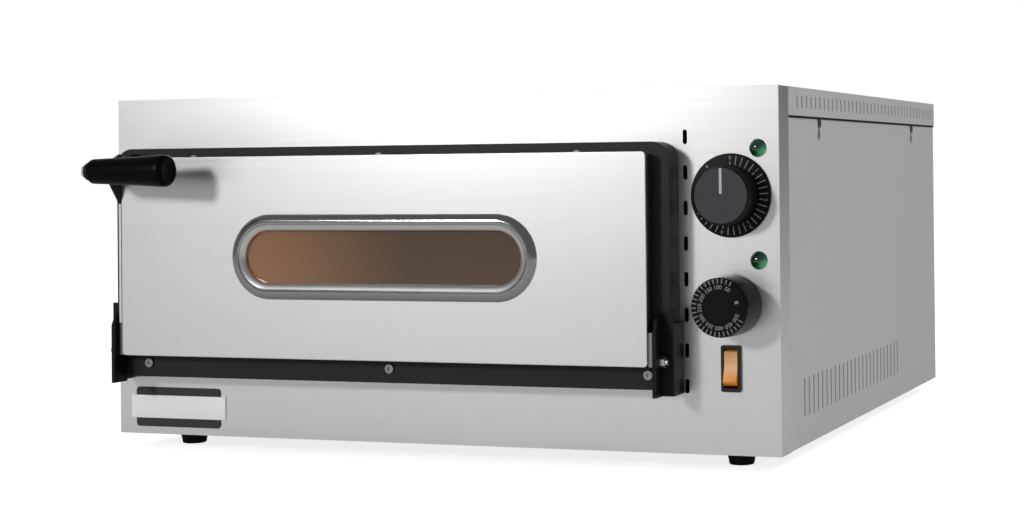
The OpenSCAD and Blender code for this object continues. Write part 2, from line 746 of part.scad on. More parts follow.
block_w = 48;
block_d = 22;
block_h = 18;
block_y = rear_face - 58;
block_pitch = 15;
block_hole_d = 5;
block_hole_z = 8;
module terminal_block() piece("white") difference() {
    block([knob_x - block_w / 2, knob_x + block_w / 2], [block_y - block_d / 2, block_y + block_d / 2],
          [bottom + sheet, bottom + sheet + block_h]);
    for (i = [-1 : 1])
        bar_z(knob_x + block_pitch * i, block_y, [bottom + block_hole_z, bottom + block_h + 2], block_hole_d);
}

gland_hex = gland_d + 4;
gland_hex_t = 6;
gland_in = 10;
module cable_gland() piece("black") difference() {
    union() {
        slab_y([rear_face, rear_face + gland_hex_t]) translate([gland_px, gland_pz]) hex(gland_hex);
        translate([gland_px, rear_face + gland_hex_t - 1, gland_pz]) rotate([-90, 0, 0])
            cylinder(d1 = gland_d + 2, d2 = gland_d - 2, h = gland_out - gland_hex_t + 1);
        bar_y(gland_px, [rear_inside - gland_in, rear_face + 1], gland_pz, gland_d);
    }
    bar_y(gland_px, [rear_inside - gland_in - 1, rear_face + gland_out + 1], gland_pz, gland_bore);
}
locknut_t = 5;
module gland_locknut() piece("black") slab_y([rear_inside - locknut_t, rear_inside])
    translate([gland_px, gland_pz]) difference() {
        hex(gland_hex + 2);
        circle(d = gland_d + 2 * running);
    }

badge_w = 79;
badge_h = 32;
module badge_plate() piece("dimgray") slab_y([-0.8, 0])
    translate([-side + 55.5, bottom + 22]) round_rect(badge_w, badge_h, 3);

// ---- Door ----

module door_outline(inset) {
    translate([door_x, door_mid]) round_rect(door_w - 2 * inset, door_h - 2 * inset, door_r - min(inset, 2));
}
module window_hole(w, h) { translate([win_x, win_z]) stadium(w, h); }
lip = bezel_rim - 8;

module door_skin() piece("gainsboro") difference() {
    slab_y([door_front, door_front + skin_return]) door_outline(0);
    slab_y([skin_back, door_front + skin_return + 1]) door_outline(skin_t);
    slab_y([door_front - 1, skin_back + 1]) window_hole(glass_w + 2 * lip, glass_h + 2 * lip);
}

module door_inner_panel() piece("dimgray") difference() {
    slab_y([skin_back, door_back]) door_outline(skin_t);
    slab_y([skin_back - 1, door_back - inner_t]) door_outline(skin_t + inner_t);
    slab_y([door_back - inner_t - 1, door_back + 1]) window_hole(glass_w, glass_h);
    bar_x([door_x - door_half, door_x + door_half], pivot[0], pivot[1], hinge_bolt_d + 4 * free);
}

module door_insulation() piece("khaki") slab_y([skin_back + free, door_back - inner_t - free]) difference() {
    translate([door_x, (door_mid * 2 + 8) / 2]) square([door_w - 12, door_h - 14], center = true);
    window_hole(pane_w + 4, pane_h + 4);
}

module door_seal() piece("black") slab_y([door_back, door_back + seal_t]) translate([door_x, chamber_mid])
    difference() {
        round_rect(chamber_w + 4 + 2 * seal_w, chamber_h + 4 + 2 * seal_w, 12);
        round_rect(chamber_w + 4, chamber_h + 4, 2);
    }

// The bezel's section: a rounded rim, with a lip through the skin to the glass
module bezel_section() {
    r0 = glass_h / 2;
    polygon(concat(
        [[r0, -skin_t], [r0 + lip, -skin_t], [r0 + lip, 0], [r0 + bezel_rim, 0]],
        [for (a = [15 : 15 : 165]) [r0 + bezel_rim / 2 + bezel_rim / 2 * cos(a), bezel_out * sin(a)]]));
}
straight = glass_w - glass_h;
module window_bezel() piece("gainsboro") translate([win_x, door_front, win_z]) rotate([90, 0, 0]) {
    for (s = [0, 1]) mirror([s, 0, 0]) translate([straight / 2, 0, 0]) intersection() {
        rotate_extrude() bezel_section();
        translate([0, -bezel_h, -bezel_h]) cube([bezel_h, 2 * bezel_h, 2 * bezel_h]);
    }
    for (s = [0, 1]) mirror([0, s, 0]) translate([-straight / 2, 0, 0]) rotate([90, 0, 90])
        linear_extrude(straight) bezel_section();
}

gasket_y = [skin_back + outer_glass_t, inner_glass_back - inner_glass_t];
module outer_glass() piece("sienna") slab_y([skin_back, gasket_y[0]]) window_hole(pane_w, pane_h);
module inner_glass() piece("sienna") slab_y([gasket_y[1], inner_glass_back]) window_hole(pane_w, pane_h);
module glass_gasket() piece("black") slab_y(gasket_y) difference() {
    window_hole(pane_w, pane_h);
    window_hole(glass_w + 2, glass_h + 2);
}

// Stainless angles on the door's lower corners, which turn on the hinge bolts
leaf_h = 25;
module hinge_leaves() piece("gainsboro") for (s = [0, 1]) translate([door_x, 0, 0]) mirror([s, 0, 0]) {
    difference() {
        union() {
            block([door_half, door_half + leaf_w], [door_front + 2, door_front + 2 + leaf_t],
                  [door_z0, door_z0 + leaf_h]);
            block([door_half, door_half + leaf_t], [door_front + 2, door_back - 0.5],
                  [door_z0, door_z0 + leaf_h]);
        }
        bar_x([door_half - 1, door_half + leaf_w + 1], pivot[0], pivot[1], hinge_bolt_d + 2 * running);
    }
}

arm_d = 14;
root_h = 36;
root_slope = 14;
tab_w = 10;
module handle_bracket() piece("black") difference() {
    union() {
        slab_x([grip_x0 - bracket_t, grip_x0]) {
            polygon([
                [door_back, door_z1 - root_h], [door_back, door_z1 + bracket_t],
                [door_front, door_z1 + bracket_t], [door_front - root_slope, grip_axis_z + arm_d / 2],
                [grip_y, grip_axis_z + arm_d / 2], [grip_y, grip_axis_z - arm_d / 2],
                [door_front - root_slope, grip_axis_z - arm_d / 2], [door_front, door_z1 - root_h]]);
            translate([grip_y, grip_axis_z]) circle(d = arm_d);
        }
        block([grip_x0 - bracket_t, grip_x0 + tab_w], [door_front, door_back],
              [door_z1, door_z1 + bracket_t]);
    }
    bar_x([grip_x0 - bracket_t - 1, grip_x0 + 1], grip_y, grip_axis_z, stud_d + 2 * running);
}

stud_l = grip_l - 25;
grip_round = 3;
module handle_grip() piece("black") translate([grip_x0, grip_y, grip_axis_z]) rotate([0, 90, 0])
    rotate_extrude() polygon(concat(
        [[stud_d / 2 + running, 0], [grip_d / 2 - 3, 0], [grip_d / 2, 3]],
        [for (a = [0 : 15 : 90]) [grip_tip_d / 2 - grip_round + grip_round * cos(a),
                                  grip_l - grip_round + grip_round * sin(a)]],
        [[0, grip_l], [0, stud_l + 1], [stud_d / 2 + running, stud_l + 1]]));

module handle_stud() piece("gainsboro") {
    bar_x([grip_x0 - bracket_t - 1, grip_x0 + stud_l], grip_y, grip_axis_z, stud_d);
    slab_x([grip_x0 - bracket_t - 3, grip_x0 - bracket_t]) translate([grip_y, grip_axis_z]) hex(stud_d + 4);
}

// ---- Knobs and rocker ----

// A knob and its shaft: base is the knob's distance from the panel
module knob(z, face_d, base_d, base, length, paint) piece(paint) {
    turned_front(knob_x, z) polygon(concat([[0, base], [base_d / 2, base], [base_d / 2, base + 2]],
        [for (a = [0 : 22.5 : 90]) [face_d / 2 - 2 + 2 * cos(a), base + length - 2 + 2 * sin(a)]],
        [[0, base + length]]));
    bar_y(knob_x, [-base - 1, shaft_in], z, shaft_d);
}
knob_gap = 0.8;
knob_draft = 2;
module upper_knob()
    knob(dial_z, upper_face_d, upper_face_d + knob_draft, dial_t + knob_gap, upper_knob_l, "darkslategray");
module lower_knob()
    knob(low_z, lower_face_d, lower_face_d + knob_draft, bush_out + knob_gap, lower_knob_l, "black");

// The rocker's face is a shallow V; at rest its upper end is pressed in
rocker_end = 9.5;
rocker_dip = 7;
rocker_side = 5;
rocker_back = 1.5;
rocker_foot = 8;
module rocker() piece("orange")
    translate([switch_x, rocker_pivot_y, rocker_z]) rotate([-rocker_turn / 2, 0, 0]) {
    intersection() {
        slab_x([-rocker_w / 2, rocker_w / 2]) polygon([
            [-rocker_end, -rocker_r], [-rocker_dip, 0], [-rocker_end, rocker_r],
            [-rocker_side, rocker_r], [rocker_back, rocker_foot],
            [rocker_back, -rocker_foot], [-rocker_side, -rocker_r]]);
        bar_x([-rocker_w, rocker_w], 0, 0, 2 * rocker_r);
    }
    bar_x([-rocker_w / 2 - free - 0.8, rocker_w / 2 + free + 0.8], 0, 0, rocker_pin_d);
}

base_pan();
left_side_panel();
right_side_panel();
rear_panel();
top_cover();
front_panel();
side_rails();
side_screws();
foot_front_left();
foot_front_right();
foot_rear_left();
foot_rear_right();
foot_screws();
mouth_frame();
frame_screws();
hinge_plate_left();
hinge_plate_right();
hinge_bolts();
chamber_liner();
chamber_supports();
stone_rails();
baking_stone();
upper_element();
lower_element();
upper_brackets();
lower_brackets();
insulation_top();
insulation_bottom();
insulation_left();
insulation_right();
insulation_rear();
heat_shield();
upper_thermostat();
lower_thermostat();
upper_bulb();
lower_bulb();
dial_plate();
upper_pilot_light();
lower_pilot_light();
switch_bezel();
terminal_block();
cable_gland();
gland_locknut();
badge_plate();
door_skin();
door_inner_panel();
door_insulation();
door_seal();
window_bezel();
outer_glass();
inner_glass();
glass_gasket();
hinge_leaves();
handle_bracket();
handle_grip();
handle_stud();
upper_knob();
lower_knob();
rocker();
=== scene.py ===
"""Countertop electric deck oven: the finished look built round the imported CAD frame.

The points of a piece are in millimetres until place() turns them into metres. Materials, the floor,
the lamps and the camera are in metres, as the frame is.
"""

import bmesh
import bpy
import numpy as np
from mathutils import Matrix, Vector


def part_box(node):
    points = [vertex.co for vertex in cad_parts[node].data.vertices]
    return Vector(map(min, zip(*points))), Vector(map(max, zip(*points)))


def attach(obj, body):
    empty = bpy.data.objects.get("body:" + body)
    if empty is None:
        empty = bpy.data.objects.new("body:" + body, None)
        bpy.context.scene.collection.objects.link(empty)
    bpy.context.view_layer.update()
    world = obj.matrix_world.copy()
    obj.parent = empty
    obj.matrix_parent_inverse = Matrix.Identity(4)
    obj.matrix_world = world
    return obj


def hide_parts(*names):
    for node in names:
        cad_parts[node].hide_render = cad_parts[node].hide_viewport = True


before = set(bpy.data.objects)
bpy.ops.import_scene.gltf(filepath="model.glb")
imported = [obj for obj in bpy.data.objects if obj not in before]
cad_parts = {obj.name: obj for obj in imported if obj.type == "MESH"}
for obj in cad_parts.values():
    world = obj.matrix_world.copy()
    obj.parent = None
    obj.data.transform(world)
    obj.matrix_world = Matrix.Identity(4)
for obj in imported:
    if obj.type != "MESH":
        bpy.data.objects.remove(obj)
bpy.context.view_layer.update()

# ---- Base pan, chamber supports, side rails and heat shield ----
# Folded from galvanised sheet and spot welded. They carry everything else and
# hardly show from outside.


def screen(red, green, blue):
    """A colour as it looks on screen, 0 to 255, turned into the linear numbers that a shader takes."""
    part = np.array([red, green, blue]) / 255
    line = np.where(part <= 0.04045, part / 12.92, ((part + 0.055) / 1.055) ** 2.4)
    return (*line.tolist(), 1.0)


def finish(name, colour, metallic, roughness, grain=(80, 80, 80), vary=0.04, relief=0.02, patches=6,
           shine=0.5):
    """A finish for one kind of surface. One noise, stretched by grain (repeats a metre along X, Y and Z),
    moves the roughness by up to 1.6 * vary and gives the relief; a second, coarse one, patches a metre
    across, shades the colour by up to vary. shine is 0.5 for plain plastic or paint, less for a dull one."""
    material = bpy.data.materials.new(name)
    material.use_nodes = True
    nodes = material.node_tree.nodes
    links = material.node_tree.links
    shader = nodes["Principled BSDF"]
    shader.inputs["Metallic"].default_value = metallic
    shader.inputs["Specular IOR Level"].default_value = shine
    where = nodes.new("ShaderNodeTexCoord")
    stretch = nodes.new("ShaderNodeMapping")
    stretch.inputs["Scale"].default_value = grain
    links.new(where.outputs["Object"], stretch.inputs["Vector"])
    fine = nodes.new("ShaderNodeTexNoise")
    fine.inputs["Scale"].default_value = 1
    fine.inputs["Detail"].default_value = 4
    links.new(stretch.outputs["Vector"], fine.inputs["Vector"])
    coarse = nodes.new("ShaderNodeTexNoise")
    coarse.inputs["Scale"].default_value = patches
    coarse.inputs["Detail"].default_value = 3
    links.new(where.outputs["Object"], coarse.inputs["Vector"])
    rough = nodes.new("ShaderNodeMapRange")
    rough.inputs["To Min"].default_value = max(0.02, roughness - 1.6 * vary)
    rough.inputs["To Max"].default_value = roughness + 1.6 * vary
    links.new(fine.outputs[0], rough.inputs["Value"])
    links.new(rough.outputs["Result"], shader.inputs["Roughness"])
    shade = nodes.new("ShaderNodeMix")
    shade.data_type = "RGBA"
    base = np.array(screen(*colour))
    shade.inputs["A"].default_value = (*(base[:3] * (1 - vary)).tolist(), 1)
    shade.inputs["B"].default_value = (*np.minimum(base[:3] * (1 + vary), 1).tolist(), 1)
    links.new(coarse.outputs[0], shade.inputs["Factor"])
    links.new(shade.outputs["Result"], shader.inputs["Base Color"])
    bump = nodes.new("ShaderNodeBump")
    bump.inputs["Strength"].default_value = relief
    bump.inputs["Distance"].default_value = 0.001
    links.new(fine.outputs[0], bump.inputs["Height"])
    links.new(bump.outputs["Normal"], shader.inputs["Normal"])
    return material


def dress(material, slot, *names):
    """Puts a finish on every material slot of CAD pieces that are shown as they are."""
    for name in names:
        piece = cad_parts[name]
        piece.data.materials.clear()
        piece.data.materials.append(material)


galvanised = finish("galvanised_sheet", (176, 180, 182), 1, 0.42, grain=(70, 70, 70), vary=0.12, patches=90)
dress(galvanised, "galvanised", "base_pan", "side_rails", "chamber_supports", "heat_shield")

# ---- Feet ----
# Four tapered rubber feet, each moulded with a recess for the screw that holds
# it to the base pan.

crease = np.radians(35)


def corners(node):
    """A CAD piece's lowest corner, highest corner and their middle, in millimetres to the nearest 0.05."""
    steps_in_mm = 20
    low, high = (np.round(np.array(corner) * 1000 * steps_in_mm) / steps_in_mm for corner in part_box(node))
    return low, high, (low + high) / 2


def place(name, points, faces, material, slot, body, *stands_for):
    """Makes one closed mesh from points in millimetres and lets it ride on a body. Faces end up outward,
    and edges that turn by more than the crease angle stay sharp."""
    mesh = bpy.data.meshes.new(name)
    mesh.from_pydata((np.asarray(points, float) * 0.001).tolist(), [], faces)
    whole = bmesh.new()
    whole.from_mesh(mesh)
    bmesh.ops.recalc_face_normals(whole, faces=whole.faces)
    whole.to_mesh(mesh)
    whole.free()
    mesh.shade_smooth()
    mesh.set_sharp_from_angle(angle=crease)
    mesh.materials.append(material)
    piece = bpy.data.objects.new(name, mesh)
    bpy.context.scene.collection.objects.link(piece)
    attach(piece, body)
    if stands_for:
        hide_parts(*stands_for)
    return piece


def shell(rings, loop=False):
    """Points and faces of a stack of rings: each ring's points join the next ring's, and each ring closes
    on itself. The last ring joins the first if loop is set; otherwise one face closes each end."""
    count, around = rings.shape[:2]
    row = np.arange(count if loop else count - 1)[:, None]
    col = np.arange(around)[None, :]
    after = (row + 1) % count
    side = (col + 1) % around
    quads = np.stack([row * around + col, row * around + side, after * around + side,
                      after * around + col], -1).reshape(-1, 4).tolist()
    ends = [] if loop else [list(range(around)), list(range((count - 1) * around, count * around))]
    return rings.reshape(-1, 3), quads + ends


def turned(profile, centre, axis, steps=96, ribs=0, rib_depth=0.0):
    """Rings of a turned shape. Profile rows are (radius, distance along the axis); a point is
    centre + distance * axis + radius * (cos a * u + sin a * v), with u and v square to the axis.
    With ribs, the radius above 60 % of the largest is cut by rib_depth * (1 - cos(ribs * a)) / 2."""
    profile = np.asarray(profile, float)
    axis = np.asarray(axis, float)
    u = np.roll(axis, 1)
    v = np.cross(axis, u)
    a = np.linspace(0, 2 * np.pi, steps, endpoint=False)
    circle = np.cos(a)[:, None] * u + np.sin(a)[:, None] * v
    cut = rib_depth * (1 - np.cos(ribs * a)) / 2
    large = profile[:, 0] > 0.6 * profile[:, 0].max()
    radius = profile[:, 0][:, None] - large[:, None] * cut[None, :]
    along = profile[:, 1][:, None, None] * axis
    return np.asarray(centre, float) + along + radius[:, :, None] * circle[None, :, :]


def arc(x, y, radius, start, end, steps=7):
    """Points on part of a circle, angles in degrees."""
    a = np.radians(np.linspace(start, end, steps))
    return np.stack([x + radius * np.cos(a), y + radius * np.sin(a)], 1).tolist()


rubber = finish("foot_rubber", (14, 14, 15), 0, 0.62, grain=(900, 900, 900), vary=0.06, relief=0.05,
                shine=0.2)
foot_profile = [[2.6, 12], [2.6, 5], [5, 5], [5, 0.6], [5.6, 0], *arc(8.6, 0.9, 0.9, 270, 350, 5),
                [11.4, 10.4], [12, 11.2], [12, 12]]
for foot in ("front_left", "front_right", "rear_left", "rear_right"):
    middle = corners("foot_" + foot)[2]
    rings = turned(foot_profile, (middle[0], middle[1], 0), (0, 0, 1), 64)
    place("rubber_foot_" + foot, *shell(rings, loop=True), rubber, "black_rubber", "housing", "foot_" + foot)

# ---- Screws, bolts and nuts ----
# Zinc-plated steel, the side screws blackened. They hang the side panels by
# their keyholes, the frame screws hold the mouth frame, the hinge bolts carry
# the door, and the stud holds the grip.


def crisp(node, name, material, body, edge, bend=0.0):
    """A finished copy of a CAD piece. Its split corners are joined, its flat triangles made one face, and
    its edges rounded: bend is the radius where two wide faces fold outwards, edge the one elsewhere."""
    weld = 2e-6
    flat = np.radians(0.3)
    least_fold = 0.6
    wide_face = 0.0025
    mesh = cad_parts[node].data.copy()
    mesh.name = name
    whole = bmesh.new()
    whole.from_mesh(mesh)
    bmesh.ops.remove_doubles(whole, verts=whole.verts, dist=weld)
    bmesh.ops.dissolve_limit(whole, angle_limit=flat, verts=whole.verts, edges=whole.edges)
    bmesh.ops.recalc_face_normals(whole, faces=whole.faces)
    weight = whole.edges.layers.float.new("bevel_weight_edge")
    widest = max(edge, bend)
    for line in whole.edges:
        if len(line.link_faces) != 2 or line.calc_face_angle() < least_fold:
            continue
        wide = min(f.calc_area() for f in line.link_faces) / line.calc_length() > wide_face
        line[weight] = 1.0 if wide and bend and line.is_convex else edge / widest
    whole.to_mesh(mesh)
    whole.free()
    mesh.shade_smooth()
    mesh.set_sharp_from_angle(angle=crease)
    mesh.materials.clear()
    mesh.materials.append(material)
    piece = bpy.data.objects.new(name, mesh)
    bpy.context.scene.collection.objects.link(piece)
    rounding = piece.modifiers.new("rounding", "BEVEL")
    rounding.limit_method = "WEIGHT"
    rounding.width = widest * 0.001
    rounding.segments = 3 if bend else 2
    rounding.harden_normals = True
    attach(piece, body)
    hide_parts(node)
    return piece


zinc = finish("zinc_plate", (206, 206, 202), 1, 0.28, grain=(300, 300, 300), vary=0.06)
dress(zinc, "zinc", "foot_screws")
blackened = finish("blackened_zinc", (92, 92, 91), 1, 0.34, grain=(300, 300, 300), vary=0.06)
crisp("side_screws", "side_screw_heads", blackened, "housing", edge=0.5)
dull_zinc = finish("dull_zinc", (150, 150, 147), 1, 0.34, grain=(300, 300, 300), vary=0.06)
crisp("frame_screws", "frame_screw_heads", dull_zinc, "housing", edge=0.3)
crisp("hinge_bolts", "hinge_bolts_and_nuts", zinc, "housing", edge=0.4)
crisp("handle_stud", "handle_stud_head", zinc, "door", edge=0.4)

# ---- Side panels, rear panel and top cover ----
# Satin stainless sheet, cut and folded, with punched vent slots. The cover
# laps over the side panels, and a dark strip set in the seam under its
# flange is painted shade for the gap there. A strip of sheet stands behind each side's low slots.

casing = finish("satin_casing", (180, 180, 180), 0.2, 0.5, grain=(30, 900, 900), vary=0.03)
crisp("left_side_panel", "left_side_sheet", casing, "housing", edge=0.2)
crisp("right_side_panel", "right_side_sheet", casing, "housing", edge=0.2)
crisp("rear_panel", "rear_sheet", casing, "housing", edge=0.2)
crisp("top_cover", "top_cover_sheet", casing, "housing", edge=0.2, bend=1.2)


def bar(x, y, z, corner, steps=6):
    """Rings of an upright strip with round corners: one outline, corner quarters of a circle joined in
    order, repeated from z[0] to z[1] with its ends drawn in by a third of the corner."""
    a = np.radians(np.linspace(0, 90, steps))
    middle = np.array([(x[0] + x[1]) / 2, (y[0] + y[1]) / 2])
    half = np.array([(x[1] - x[0]) / 2, (y[1] - y[0]) / 2])
    signs = np.array([[1, 1], [-1, 1], [-1, -1], [1, -1]])

    def outline(inset):
        angles = [a + k * np.pi / 2 for k in range(4)]
        return np.concatenate([middle + signs[k] * (half - corner) + (corner - inset) * np.stack(
            [np.cos(angles[k]), np.sin(angles[k])], 1) for k in range(4)])

    third = corner / 3
    rows = [(z[0], third), (z[0] + third, 0), (z[1] - third, 0), (z[1], third)]
    return np.stack([np.insert(outline(inset), 2, level, axis=1) for level, inset in rows])


seam_shade = finish("painted_seam_shade", (30, 30, 30), 0, 0.9, grain=(900, 900, 900), vary=0.1, relief=0.2, shine=0.1)
flange_foot = corners("top_cover")[0][2]
side_low, side_high, _ = corners("right_side_panel")
seam_z = (flange_foot - 1.6, flange_foot + 0.1)
seam_y = (side_low[1] + 1.5, side_high[1] - 0.5)
seam_x = (side_high[0] - 0.05, side_high[0] + 0.7)
# the seam strips are painted shade: a dark strip put where the flange's gap is shaded
for which, x in (("left", (-seam_x[1], -seam_x[0])), ("right", seam_x)):
    place(which + "_painted_seam_shadow", *shell(bar(x, seam_z, seam_y, 0.25)[..., [0, 2, 1]]), seam_shade, "black_rubber",
          "housing")
backing_x = (side_low[0] - 0.7, side_low[0] - 0.2)
backing_y = (-176, 140)
backing_z = (29, 67)
for which, x in (("left", (-backing_x[1], -backing_x[0])), ("right", backing_x)):
    place(which + "_slot_backing", *shell(bar(x, backing_y, backing_z, 0.2)), casing, "satin_casing",
          "housing")

# ---- Front panel ----
# One brushed stainless sheet, folded back at its top and sides. It holds the
# mouth frame, the controls and a column of eight vent slots.

brushed = finish("brushed_stainless", (228, 228, 227), 1, 0.34, grain=(6, 1400, 1400), vary=0.03)
crisp("front_panel", "front_panel_sheet", brushed, "housing", edge=0.2, bend=1.4)

# ---- Mouth frame and hinge plates ----
# The frame is a pressed tray of black-painted steel round the chamber's mouth.
# The hinge plates are bent strips of 3 mm steel, painted black.

frame_paint = finish("frame_paint", (26, 26, 27), 0, 0.42, grain=(700, 700, 700), vary=0.05, relief=0.06,
                     shine=0.25)
crisp("mouth_frame", "mouth_frame_tray", frame_paint, "housing", edge=0.25, bend=1.6)
plate_paint = finish("plate_paint", (12, 12, 13), 0, 0.4, grain=(700, 700, 700), vary=0.05, relief=0.06,
                     shine=0.2)
crisp("hinge_plate_left", "hinge_plate_left_bent", plate_paint, "housing", edge=0.4)
crisp("hinge_plate_right", "hinge_plate_right_bent", plate_paint, "housing", edge=0.4)

# ---- Baking chamber ----
# Aluminised steel liner, dulled by heat and wrapped in mineral wool. It holds a
# fired stone on rails, two heating elements on brackets, and the copper bulbs of
# the thermostats.

liner = finish("aluminised_liner", (168, 163, 154), 1, 0.5, grain=(25, 25, 25), vary=0.14, patches=14)
dress(liner, "aluminised", "chamber_liner", "stone_rails", "upper_brackets", "lower_brackets")
stone = finish("fired_stone", (198, 182, 156), 0, 0.88, grain=(420, 420, 420), vary=0.09, relief=0.5,
               patches=30)
crisp("baking_stone", "baking_stone_slab", stone, "housing", edge=1.2)
sheath = finish("heater_sheath", (78, 74, 70), 0.8, 0.55, grain=(500, 500, 500), vary=0.08)
dress(sheath, "heater_sheath", "upper_element", "lower_element")
copper = finish("bulb_copper", (188, 128, 92), 1, 0.35, grain=(200, 200, 200), vary=0.06)
dress(copper, "copper", "upper_bulb", "lower_bulb")
wool = finish("mineral_wool", (196, 186, 142), 0, 0.95, grain=(60, 900, 900), vary=0.12, relief=0.8,
              patches=60)
dress(wool, "mineral_wool", "insulation_top", "insulation_bottom", "insulation_left", "insulation_right",
      "insulation_rear", "door_insulation")

# ---- Thermostats and terminal block ----
# Ceramic thermostat bodies fixed behind the front panel, and the moulded plastic
# block where the mains lead ends.

ceramic = finish("thermostat_ceramic", (226, 218, 196), 0, 0.55)
dress(ceramic, "thermostat_body", "upper_thermostat", "lower_thermostat")
white_plastic = finish("terminal_plastic", (232, 232, 228), 0, 0.5)
dress(white_plastic, "terminal_white", "terminal_block")

# ---- Cable gland ----
# Moulded black nylon gland, screwed through the rear panel, low down, with a
# locknut inside.

nylon = finish("gland_nylon", (20, 20, 21), 0, 0.5, grain=(400, 400, 400), shine=0.3)
crisp("cable_gland", "cable_gland_body", nylon, "housing", edge=0.6)
crisp("gland_locknut", "gland_locknut_ring", nylon, "housing", edge=0.5)

# ---- Dial plate of the upper knob ----
# A black disc on the panel with a printed scale: fine strokes from twelve
# clockwise to eight o'clock, a number at every fifth, and an off mark.

panel_front = corners("front_panel")[0][1]
dial_front = corners("dial_plate")[0][1]
dial_x, _, dial_z = corners("dial_plate")[2]
dial_black = finish("dial_black", (4, 4, 5), 0, 0.4, grain=(500, 500, 500), shine=0.12)
rings = turned([[0.2, 0], [30.6, 0], [31, 0.5], *arc(30.4, 1.4, 0.6, 0, 90, 5), [0.2, 2]],
               (dial_x, panel_front, dial_z), (0, -1, 0), 128)
place("dial_disc", *shell(rings), dial_black, "dial_black", "housing", "dial_plate")


def strokes(turns, inner, outer, width, centre, front, thick=0.06):
    """Thin radial bars on a flat face, as one array of boxes. turns are degrees clockwise from the top;
    inner, outer and width are one number or one for each bar. Each bar stands thick out of front."""
    turns = np.radians(np.asarray(turns, float))
    inner, outer, width = (np.broadcast_to(np.asarray(n, float), turns.shape) for n in (inner, outer, width))
    out = np.stack([np.sin(turns), 0 * turns, np.cos(turns)], 1)
    across = np.stack([np.cos(turns), 0 * turns, -np.sin(turns)], 1) * width[:, None] / 2
    flat = np.stack([out * inner[:, None] - across, out * inner[:, None] + across,
                     out * outer[:, None] + across, out * outer[:, None] - across], 1)
    flat = flat + np.array([centre[0], 0, centre[1]])
    low = flat + np.array([0, front + 0.02, 0])
    high = flat + np.array([0, front - thick, 0])
    points = np.concatenate([low, high], 1).reshape(-1, 3)
    box = np.array([[0, 1, 2, 3], [7, 6, 5, 4], [0, 4, 5, 1], [1, 5, 6, 2], [2, 6, 7, 3], [3, 7, 4, 0]])
    faces = (box[None] + 8 * np.arange(len(turns))[:, None, None]).reshape(-1, 4)
    return points, faces.tolist()


print_grey = finish("dial_print", (120, 123, 126), 0, 0.5)
scale_sweep = 242.5
turns = np.linspace(0, scale_sweep, 26)
every_fifth = np.arange(26) % 5 == 0
marks = strokes(turns, 22.6, np.where(every_fifth, 25.2, 29.3), 0.75, (dial_x, dial_z), dial_front)
place("dial_scale", *marks, print_grey, "dial_black", "housing")
marks = strokes([-40], 26.8, 28.8, 1.4, (dial_x, dial_z), dial_front)
place("dial_off_mark", *marks, print_grey, "dial_black", "housing")


def number(text, turn, radius, height, centre, front, name, material, slot, body):
    """A printed number as a thin mesh: its text is laid flat, its middle moved to radius at turn degrees
    clockwise from the top, and its head turned outwards. A font's size is 1.4 times its digits' height."""
    curve = bpy.data.curves.new(name, "FONT")
    curve.body = text
    curve.size = height * 1.4
    curve.extrude = 0.03
    curve.offset = 0.05
    curve.align_x = "CENTER"
    curve.align_y = "CENTER"
    curve.resolution_u = 2
    holder = bpy.data.objects.new(name + "_text", curve)
    bpy.context.scene.collection.objects.link(holder)
    bpy.context.view_layer.update()
    flat = holder.evaluated_get(bpy.context.evaluated_depsgraph_get()).to_mesh()
    co = np.zeros(len(flat.vertices) * 3)
    flat.vertices.foreach_get("co", co)
    co = co.reshape(-1, 3)
    faces = [list(f.vertices) for f in flat.polygons]
    bpy.data.objects.remove(holder)
    bpy.data.curves.remove(curve)
    a = np.radians(turn)
    out = np.array([np.sin(a), 0, np.cos(a)])
    across = np.array([np.cos(a), 0, -np.sin(a)])
    middle = np.array([centre[0], front - 0.02, centre[1]]) + out * radius
    points = middle + co[:, :1] * across + co[:, 1:2] * out + co[:, 2:] * np.array([0, -1, 0])
    return place(name, points, faces, material, slot, body)


for i in range(6):
    number(str(i), i * scale_sweep / 5, 27.6, 3.0, (dial_x, dial_z), dial_front, f"dial_number_{i}",
           print_grey, "dial_black", "housing")

# ---- Upper knob ----
# Moulded black knob with a smooth tapered side, a slate-grey face pressed into
# its front, and a pale line from near the middle to the rim.

upper_seat = dial_front - 0.8
knob_black = finish("knob_plastic", (7, 7, 8), 0, 0.36, grain=(600, 600, 600), shine=0.2)
profile = [[3, -21.5], [3, 0], [21.4, 0], [22, 0.6], [21.9, 2.2], [21.5, 17.5],
           *arc(20.3, 19.9, 1.2, 0, 90), [12, 21.0], [0.2, 21.0]]
rings = turned(profile, (dial_x, upper_seat, dial_z), (0, -1, 0), 128)
place("upper_knob_body", *shell(rings), knob_black, "upper_knob_grey", "upper_knob", "upper_knob")
slate = finish("upper_knob_face", (54, 56, 60), 0, 0.42, grain=(600, 600, 600), shine=0.25)
profile = [[0.2, 20.6], [20.2, 20.6], [20.4, 21.0], [20.0, 21.42], [12, 21.34], [0.2, 21.3]]
rings = turned(profile, (dial_x, upper_seat, dial_z), (0, -1, 0), 128)
place("upper_knob_face", *shell(rings), slate, "upper_knob_grey", "upper_knob")
pointer_white = finish("pointer_white", (172, 176, 188), 0, 0.45)
marks = strokes([0], 1.6, 20.2, 2.0, (dial_x, dial_z), upper_seat - 21.3, 0.3)
place("upper_knob_pointer", *marks, pointer_white, "upper_knob_grey", "upper_knob")

# ---- Lower knob ----
# Moulded black knob with a finely ribbed side. It carries its own scale: numbers
# and strokes run round its face against the clock, from one o'clock to four.

